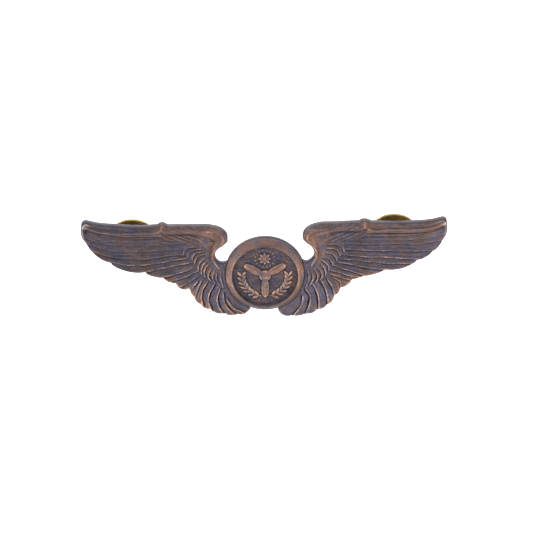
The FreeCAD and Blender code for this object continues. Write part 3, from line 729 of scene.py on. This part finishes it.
def blade(points, degrees):
    """Relief of a propeller blade pointing a number of degrees clockwise from up."""
    a = math.radians(degrees)
    along = points[:, 0] * math.sin(a) + points[:, 1] * math.cos(a)
    across = abs(points[:, 0] * math.cos(a) - points[:, 1] * math.sin(a))
    half = np.interp(along, [0.4, 1.4, 2.6, 4, 4.7, BLADE_END], [0.42, 0.72, 0.88, 0.82, 0.58, 0.02])
    q = np.clip(across / np.maximum(half, 1e-3), 0, 1)
    on = (along > BLADE_START) & (along < BLADE_END)
    shape = np.where(on, 0.4 * np.sqrt(np.maximum(1 - q ** 3, 0)), 0)
    ribs = 0.06 * bump(across, 0.16) - 0.04 * bump(across - half * 0.55, 0.1)
    return shape + np.where(on & (q < 1), ribs, 0)


def leaf(points, x, z, degrees, length, half):
    """Pointed leaf from a stalk at (x, z), with a midrib."""
    a = math.radians(degrees)
    dx, dz = points[:, 0] - x, points[:, 1] - z
    along = (dx * math.sin(a) + dz * math.cos(a)) / length
    across = (dx * math.cos(a) - dz * math.sin(a)) / half
    room = 4 * np.clip(along, 0, 1) * (1 - np.clip(along, 0, 1))
    q = np.where(room > 0.02, abs(across) / np.maximum(room, 0.02), 9)
    shape = 0.3 * np.sqrt(np.maximum(1 - np.clip(q, 0, 1) ** 2, 0))
    return np.where(q < 1, shape - 0.05 * bump(across, 0.16), 0)


def rosette(points, height):
    """Eight petals with a button in the middle and dots round them, laid over a height."""
    x, z = points[:, 0], points[:, 1]
    for i in range(PETALS):
        height = np.maximum(height, leaf(points, 0, ROSETTE_Z, i * 360 / PETALS, 1.35, 0.4))
    for i in range(DOTS):
        a = 2 * math.pi * (i + 0.5) / DOTS
        at = (DOT_RING_R * math.sin(a), ROSETTE_Z + DOT_RING_R * math.cos(a))
        if math.hypot(*at) < 6:
            height = np.maximum(height, 0.2 * bump(np.hypot(x - at[0], z - at[1]), 0.17))
    r = np.hypot(x, z - ROSETTE_Z) / BUTTON_R
    return np.where(r < 1, np.maximum(height, BUTTON_H * np.sqrt(np.maximum(1 - r ** 3, 0))), height)


def emblem(points):
    """Generic airman's device: three-bladed propeller, rosette above it and a laurel spray each side."""
    height = np.zeros(len(points))
    for degrees in (-60, 60, 180):
        height = np.maximum(height, blade(points, degrees))
    r = np.hypot(points[:, 0], points[:, 1])
    hub = HUB_H * np.sqrt(np.maximum(1 - np.clip(r / HUB_R, 0, 1) ** 4, 0))
    hub -= 0.1 * bump(r - 0.78, 0.13)
    height = rosette(points, np.where(r < HUB_R, np.maximum(height, hub), height))
    for side in (-1, 1):
        height = np.maximum(height, laurel(points, side))
    return height


def laurel(points, side):
    """Relief of a curved stem low on one side, with leaves in pairs and berries outside them."""
    a = np.radians(np.linspace(12, 92, 24))
    stem = np.column_stack([side * STEM_R * np.sin(a), -STEM_R * np.cos(a)])
    height = 0.2 * bump(near(points, stem)[0], 0.14)
    for i in range(LEAF_PAIRS):
        a = math.radians(16 + 12 * i)
        x, z = side * STEM_R * math.sin(a), -STEM_R * math.cos(a)
        heading = 90 - math.degrees(a)
        for spread in (36, -36):
            height = np.maximum(height, leaf(points, x, z, side * (heading + spread), 1.45, 0.34))
        b = a + math.radians(5)
        berry_r = STEM_R + 0.55
        berry = np.hypot(points[:, 0] - side * berry_r * math.sin(b), points[:, 1] + berry_r * math.cos(b))
        height = np.maximum(height, 0.24 * bump(berry, 0.17))
    return height


def medallion_relief(points, rim):
    """Height over the field, patina level with painted highlights and shade, rub, warmth and grain
    direction of the medallion's front.
    """
    x, z = points[:, 0], points[:, 1]
    r, turn = np.hypot(x, z), np.arctan2(z, x)
    raised = emblem(points)
    rough = 0.055 * grain(points, 3.1, 81) + 0.035 * grain(points, 7.3, 82)
    inner = ease(RING_FOOT_R, 6.6, r)
    on_ring = ease(6.84, 6.94, r)
    height = np.interp(r, RING_PROFILE[:, 0], RING_PROFILE[:, 1])
    height = height + (raised + rough * ease(0.25, 0, raised)) * inner
    uneven = 0.012 * grain(np.column_stack([turn * 7, r * 5]), 1, 83) + 0.006 * grain(points, 7, 84)
    height += on_ring * ease(0, 0.2, rim) * uneven
    # painted light on the ring: painted highlights at its sides and painted shade at its top and foot; it
    # is also browner at its top
    left = bump(np.abs(turn) - math.radians(172), 0.62)
    right = bump(turn - math.radians(14), 0.95)
    top = bump(turn - math.radians(90), 1.1)
    foot = bump(turn + math.radians(92), 0.62)
    level = 0.31 + 0.24 * ease(0.05, 0.28, raised) * inner + 0.15 * on_ring
    # painted shade round the ring's inner foot, weaker at the bottom, where painted light lifts the field
    # just above the foot
    level -= 0.12 * bump(r - RING_FOOT_R, 0.14) * (1 - 0.7 * foot) + 0.04 * bump(r - 6.4, 0.5)
    level += 0.17 * foot * bump(r - 6.45, 0.45)
    level += on_ring * (0.29 * left + 0.22 * right - 0.2 * foot - 0.1 * top)
    warm = 0.02 + 0.06 * ease(0.1, 0.28, raised) * inner + on_ring * (0.09 - 0.06 * left)
    warm += 0.2 * top * on_ring * ease(8.15, 7.9, r)
    u, v = np.where(on_ring > 0.5, turn * 7.5, x), np.where(on_ring > 0.5, r, z * 0.5)
    return height, level, 1 - 0.85 * ease(6.2, 6.6, r), warm, u, v


# ---------------- building meshes

def mesh_object(name, verts, faces, material):
    mesh = bpy.data.meshes.new(name)
    mesh.from_pydata([tuple(v) for v in verts], [], faces)
    mesh.polygons.foreach_set("use_smooth", np.ones(len(mesh.polygons), bool))
    mesh.materials.append(material)
    return new_object(name, mesh)


def triangulated(loop, extra):
    """Points and triangles filling a closed loop, with extra points inside it. The loop comes first."""
    pts = np.vstack([loop, extra])
    n = len(loop)
    edges = [(i, (i + 1) % n) for i in range(n)]
    verts, _, faces, _, _, _ = delaunay_2d_cdt([Vector(p) for p in pts], edges, [], 1, 1e-7)
    if len(verts) != len(pts):
        raise RuntimeError(f"the outline crosses itself: {len(pts)} points became {len(verts)}")
    a, b, c = (pts[[f[k] for f in faces]] for k in (0, 1, 2))
    front = (b[:, 0] - a[:, 0]) * (c[:, 1] - a[:, 1]) - (b[:, 1] - a[:, 1]) * (c[:, 0] - a[:, 0]) > 0
    return pts, [tuple(f) if ok else tuple(f[::-1]) for f, ok in zip(faces, front)]


def outward_of(loop):
    ahead = np.roll(loop, -1, axis=0) - np.roll(loop, 1, axis=0)
    ahead /= np.linalg.norm(ahead, axis=1)[:, None]
    return np.column_stack([ahead[:, 1], -ahead[:, 0]])


def inset_loop(loop, depth):
    """Loop moved inwards, except at corners too tight for the move."""
    p = loop - outward_of(loop) * depth
    room = from_loop(p, loop) > depth * 0.95
    tight = ~room | ~np.roll(room, 1) | ~np.roll(room, -1)
    p[tight] = loop[tight]
    return p


def offset_ring(loop, depth):
    """Points a depth inside a loop, left out where another stretch of the loop is nearer."""
    p = loop - outward_of(loop) * depth
    return p[(from_loop(p, loop) > depth * 0.93) & inside(p, loop)]


def grid_inside(loop, spacing, margin):
    """Staggered grid of points inside a loop, all further from it than a margin."""
    lo, hi = loop.min(0), loop.max(0)
    xs = np.arange(lo[0], hi[0], spacing)
    zs = np.arange(lo[1], hi[1], spacing * 0.866)
    gx, gz = np.meshgrid(xs, zs)
    gx = gx + (np.arange(len(zs)) % 2)[:, None] * spacing / 2
    grid = np.column_stack([gx.ravel(), gz.ravel()])
    grid = grid[inside(grid, loop)]
    return grid[from_loop(grid, loop) > margin]


def smoothed(values, edges, rounds):
    """Values averaged over neighbouring vertices a number of times."""
    a, b = edges[:, 0], edges[:, 1]
    count = np.bincount(a, minlength=len(values)) + np.bincount(b, minlength=len(values)) + 1
    for _ in range(rounds):
        total = values + np.bincount(a, values[b], len(values)) + np.bincount(b, values[a], len(values))
        values = total / count
    return values


def relief_slab(name, loop, relief_of, spacing, field_y, wall, material, depths=(0.05, 0.12, 0.21)):
    """Closed solid: a relief front, a wall given as (inset, y) steps going back, and a flat back."""
    rings = [offset_ring(loop, d) for d in depths]
    grid = grid_inside(loop, spacing, depths[-1] + spacing * 0.55)
    pts, faces = triangulated(loop, np.vstack(rings + [grid]))
    n, m = len(pts), len(loop)
    rim = from_loop(pts, loop)
    rim[:m] = 0
    height, level, rub, warm, u, v = relief_of(pts, rim)
    front = np.column_stack([pts[:, 0], field_y - height, pts[:, 1]])
    rows = [front]
    for inset, y in wall[:-1]:
        p = inset_loop(loop, inset)
        rows.append(np.column_stack([p[:, 0], np.full(m, y), p[:, 1]]))
    inset, back_y = wall[-1]
    back_loop = inset_loop(loop, inset)
    back_pts, back_faces = triangulated(back_loop, grid_inside(back_loop, 0.8, 0.35))
    rows.append(np.column_stack([back_pts[:, 0], np.full(len(back_pts), back_y), back_pts[:, 1]]))
    starts = [0] + [n + k * m for k in range(len(wall))]
    for s0, s1 in zip(starts, starts[1:]):
        faces += [(s0 + i, s1 + i, s1 + (i + 1) % m, s0 + (i + 1) % m) for i in range(m)]
    faces += [tuple(starts[-1] + k for k in f[::-1]) for f in back_faces]
    verts = np.vstack(rows)
    obj = mesh_object(name, verts * MM, faces, material)
    add_patina(obj, n, level, rub, warm, u, v)
    return obj


# the walls and the back: patina level and warmth
PLAIN_LEVEL, PLAIN_WARMTH = 0.46, -0.09
# how much a crest is rubbed for each millimetre above its near and its wider surroundings
FINE_RUB, BROAD_RUB = 3.4, 1.1
FINE_ROUNDS, BROAD_ROUNDS = 6, 40


def add_layer(mesh, name, kind, field, values):
    layer = mesh.attributes.new(name, kind, "POINT")
    layer.data.foreach_set(field, values.astype(np.float32).ravel())


def add_patina(obj, n=0, level=0, rub=0, warm=0, u=0, v=0):
    """Vertex values for the patina: its level, with painted highlights and shade in it, raised where crests
    are rubbed, its warmth, and the grain.

    The first n vertices are the front and take the values given; the others are plain."""
    mesh = obj.data
    edges = np.zeros(len(mesh.edges) * 2, np.int32)
    mesh.edges.foreach_get("vertices", edges)
    edges = edges.reshape(-1, 2)
    place = np.zeros(len(mesh.vertices) * 3)
    mesh.vertices.foreach_get("co", place)
    place = place.reshape(-1, 3) / MM
    relief = -place[:, 1]
    front = edges[(edges < n).all(1)]
    fine = (relief - smoothed(relief, front, FINE_ROUNDS))[:n]
    broad = (relief - smoothed(relief, front, BROAD_ROUNDS))[:n]
    wear_and_painted_light = np.full(len(place), PLAIN_LEVEL)
    wear_and_painted_light[:n] = np.clip(level + rub * (FINE_RUB * fine + BROAD_RUB * broad), 0, 1)
    warmth = np.full(len(place), PLAIN_WARMTH)
    warmth[:n] = warm
    grain_at = np.column_stack([place[:, 0] * 0.4, place[:, 2] * 0.4, place[:, 1] * 2])
    grain_at[:n, 0], grain_at[:n, 1], grain_at[:n, 2] = u * 0.3, v * 2.2, 0
    add_layer(mesh, "wear_and_painted_light", "FLOAT", "value", wear_and_painted_light)
    add_layer(mesh, "warmth", "FLOAT", "value", warmth)
    add_layer(mesh, "grain_at", "FLOAT_VECTOR", "vector", grain_at)


def lathed(name, profile, material, count=192):
    """Closed solid turned about Y from (radius, y) points that start and end on the axis."""
    verts, faces = [], []
    for r, y in profile[1:-1]:
        for k in range(count):
            t = 2 * math.pi * k / count
            verts.append((r * math.cos(t) * MM, y * MM, r * math.sin(t) * MM))
    rings = len(profile) - 2
    for j in range(rings - 1):
        for k in range(count):
            a, b = j * count + k, j * count + (k + 1) % count
            faces.append((a, b, b + count, a + count))
    first, last = len(verts), len(verts) + 1
    verts += [(0, profile[0][1] * MM, 0), (0, profile[-1][1] * MM, 0)]
    for k in range(count):
        b = (k + 1) % count
        faces.append((first, b, k))
        faces.append((last, (rings - 1) * count + k, (rings - 1) * count + b))
    return mesh_object(name, verts, faces, material)


# ---------------- materials

class Shader:
    """A material's node tree while it is built, with its Principled shader."""

    def __init__(self, name):
        self.material = bpy.data.materials.new(name)
        self.material.use_nodes = True
        self.nodes, self.links = self.material.node_tree.nodes, self.material.node_tree.links
        self.bsdf = self.nodes["Principled BSDF"].inputs
        self.place = self.nodes.new("ShaderNodeTexCoord").outputs["Object"]

    def attribute(self, name, output="Fac"):
        node = self.nodes.new("ShaderNodeAttribute")
        node.attribute_name = name
        return node.outputs[output]

    def noise(self, vector, scale, detail=4, rough=0.55):
        node = self.nodes.new("ShaderNodeTexNoise")
        for socket, value in (("Scale", scale), ("Detail", detail), ("Roughness", rough)):
            node.inputs[socket].default_value = value
        self.links.new(vector, node.inputs["Vector"])
        return node.outputs["Fac"]

    def maths(self, op, *values, clamp=False):
        node = self.nodes.new("ShaderNodeMath")
        node.operation = op
        node.use_clamp = clamp
        for socket, value in zip(node.inputs, values):
            if isinstance(value, (int, float)):
                socket.default_value = value
            else:
                self.links.new(value, socket)
        return node.outputs[0]

    def centred(self, value, size):
        """A 0 to 1 value turned into one about zero, of a given size."""
        return self.maths("MULTIPLY", self.maths("SUBTRACT", value, 0.5), size)

    def total(self, first, *rest, clamp=False):
        """Sum of values, clamped to 0 to 1 at the end if asked."""
        for value in rest[:-1]:
            first = self.maths("ADD", first, value)
        return self.maths("ADD", first, rest[-1], clamp=clamp)

    def ramp(self, fac, stops):
        node = self.nodes.new("ShaderNodeValToRGB")
        while len(node.color_ramp.elements) < len(stops):
            node.color_ramp.elements.new(0.5)
        for element, (place, colour) in zip(node.color_ramp.elements, stops):
            element.position = place
            element.color = (*colour, 1)
        self.links.new(fac, node.inputs["Fac"])
        return node.outputs["Color"]

    def tinted(self, colour, tint, share):
        """A colour multiplied by a tint, to a given share."""
        node = self.nodes.new("ShaderNodeMix")
        node.data_type, node.blend_type = "RGBA", "MULTIPLY"
        node.inputs["Factor"].default_value = share
        self.links.new(colour, node.inputs["A"])
        self.links.new(tint, node.inputs["B"])
        return node.outputs["Result"]

    def surface(self, colour, metallic, rough, dents, strength, depth):
        """Joins colour, roughness and a bump a given depth in metres to the shader."""
        self.links.new(colour, self.bsdf["Base Color"])
        self.bsdf["Metallic"].default_value = metallic
        self.links.new(rough, self.bsdf["Roughness"])
        node = self.nodes.new("ShaderNodeBump")
        node.inputs["Strength"].default_value = strength
        node.inputs["Distance"].default_value = depth
        self.links.new(dents, node.inputs["Height"])
        self.links.new(node.outputs["Normal"], self.bsdf["Normal"])
        return self.material


# colour of the bronze from the deepest patina to bare metal, and its tint from cool to warm
PATINA = [
    (0, (0.018, 0.015, 0.018)),
    (0.22, (0.043, 0.033, 0.039)),
    (0.42, (0.075, 0.057, 0.066)),
    (0.58, (0.11, 0.076, 0.073)),
    (0.76, (0.176, 0.114, 0.096)),
    (1, (0.355, 0.252, 0.212)),
]
TINTS = [
    (0.16, (0.72, 0.85, 1.24)),
    (0.36, (0.8, 0.88, 1.18)),
    (0.5, (1, 1, 1)),
    (0.64, (1.2, 0.98, 0.84)),
    (0.86, (1.24, 0.86, 0.6)),
]


def antique_bronze(name):
    """Copper bronze under a violet-grey patina that is rubbed through on the high places, its level also
    carrying the painted highlights and shade of the vertex values.
    """
    s = Shader(name)
    along = s.attribute("grain_at", "Vector")
    cloud = s.centred(s.noise(s.place, 380, 5), 0.42)
    streak = s.centred(s.noise(along, 1, 5, 0.65), 0.85)
    speck = s.centred(s.noise(s.place, 1900, 4, 0.65), 0.5)
    dash = s.maths("SUBTRACT", s.noise(along, 1.3, 2, 0.5), 0.57)
    dash = s.maths("MULTIPLY", dash, 6, clamp=True)
    level = s.total(s.attribute("wear_and_painted_light"), cloud, streak, s.maths("MULTIPLY", dash, 0.1), speck, clamp=True)
    patch = s.centred(s.noise(s.place, 420, 4), 1.3)
    strand = s.centred(s.noise(along, 0.8, 3, 0.6), 1)
    warmth = s.total(patch, strand, 0.5, s.attribute("warmth"), s.maths("MULTIPLY", dash, 0.12))
    colour = s.tinted(s.ramp(level, PATINA), s.ramp(warmth, TINTS), 0.9)
    dents = s.total(s.noise(s.place, 3000, 5, 0.6), s.noise(along, 2.2, 4, 0.6))
    return s.surface(colour, 0.55, s.maths("MULTIPLY_ADD", level, -0.22, 0.6), dents, 0.5, 0.00006)


def metal(name, bright, tarnish, roughness, scratches, share=0.5, metallic=0.95):
    """Plain sheet or wire metal with cloudy tarnish, spots and fine scratches."""
    s = Shader(name)
    stretch = s.nodes.new("ShaderNodeMapping")
    stretch.inputs["Scale"].default_value = (1, 6, 1)
    s.links.new(s.place, stretch.inputs["Vector"])
    spots = s.noise(s.place, 2600, 3, 0.6)
    lines = s.noise(stretch.outputs["Vector"], scratches, 4, 0.7)
    level = s.total(s.noise(s.place, 520, 5, 0.6), s.centred(spots, 0.45), share - 0.5, clamp=True)
    middle = tuple(0.5 * (a + b) for a, b in zip(bright, tarnish))
    colour = s.ramp(level, [(0.3, bright), (0.52, middle), (0.74, tarnish)])
    rough = s.maths("MULTIPLY_ADD", level, 0.35, roughness)
    return s.surface(colour, metallic, rough, s.total(lines, spots), 0.35, 0.00003)


# ---------------- pieces

OUTLINE_STEP = 0.1
RING_GAP = 0.08
WING_SPACING = 0.11
MEDALLION_SPACING = 0.085


def stands_for(obj, node):
    """Puts a piece on the badge in place of a CAD node."""
    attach(obj, "badge")
    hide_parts(node)


def make_wing(side, material):
    """One wing, its outline cut back beside the ring."""
    wing = WINGS[side]
    loop = outside_disc(closed_outline(wing["edge"], OUTLINE_STEP), RING_R + RING_GAP)
    wall = [(0, -0.75), (0, BACK_Y - 0.1), (0.05, BACK_Y)]
    obj = relief_slab("wing_" + side + "_relief", loop, lambda points, rim: wing_relief(points, wing, rim),
                      WING_SPACING, FIELD_Y, wall, material)
    stands_for(obj, "wings_plate")


def make_seat(material):
    """Round plate under the medallion, with the flat pad on its back."""
    profile = [(0, SEAT_Y), (SEAT_R - 0.08, SEAT_Y), (SEAT_R, SEAT_Y + 0.05), (SEAT_R, BACK_Y - 0.08),
               (SEAT_R - 0.08, BACK_Y), (PAD_R + 0.03, BACK_Y), (PAD_R, BACK_Y + 0.03),
               (PAD_R - 0.04, 0), (0, 0)]
    obj = lathed("medallion_seat", profile, material)
    add_patina(obj)
    stands_for(obj, "wings_plate")


def make_medallion(material):
    """Ringed medallion with its emblem, on the seat."""
    t = np.linspace(0, 2 * math.pi, 480, endpoint=False)
    loop = RING_R * np.column_stack([np.cos(t), np.sin(t)])
    wall = [(0, SEAT_Y - 0.16), (0.03, SEAT_Y - 0.1), (0.15, SEAT_Y - 0.08), (0.15, SEAT_Y)]
    depths = np.arange(0.05, RING_R - RING_FOOT_R, 0.07)
    obj = relief_slab("medallion_relief", loop, medallion_relief, MEDALLION_SPACING, EMBLEM_Y, wall,
                      material, depths)
    stands_for(obj, "medallion")


# material's name, bright and tarnished colours, roughness, scratches, share tarnished and metallic
FINISHES = {
    "post": ("post_brass_drawn", (0.5, 0.36, 0.16), (0.23, 0.16, 0.08), 0.28, 1400),
    "solder": ("solder_grey", (0.42, 0.41, 0.39), (0.16, 0.15, 0.14), 0.38, 700),
    "disc": ("clutch_brass_stamped", (0.62, 0.43, 0.13), (0.2, 0.13, 0.045), 0.3, 900, 0.52, 0.75),
    "cage": ("cage_brass_stamped", (0.52, 0.36, 0.12), (0.22, 0.145, 0.055), 0.3, 1000, 0.5, 0.85),
    "clip": ("spring_brass_rolled", (0.54, 0.39, 0.155), (0.24, 0.165, 0.07), 0.28, 1600, 0.5, 0.85),
}


def dress_hardware():
    """Finishes for the posts and clutches, which keep their own shapes."""
    finish = {kind: metal(*values) for kind, values in FINISHES.items()}
    finish["lever"] = finish["clip"]
    for name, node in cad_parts.items():
        for kind, material in finish.items():
            if kind in name.split("_"):
                node.data.materials.clear()
                node.data.materials.append(material)


def main():
    camera()
    studio()
    bronze = antique_bronze("bronze_antique")
    make_wing("left", bronze)
    make_wing("right", bronze)
    make_seat(bronze)
    make_medallion(bronze)
    dress_hardware()


main()
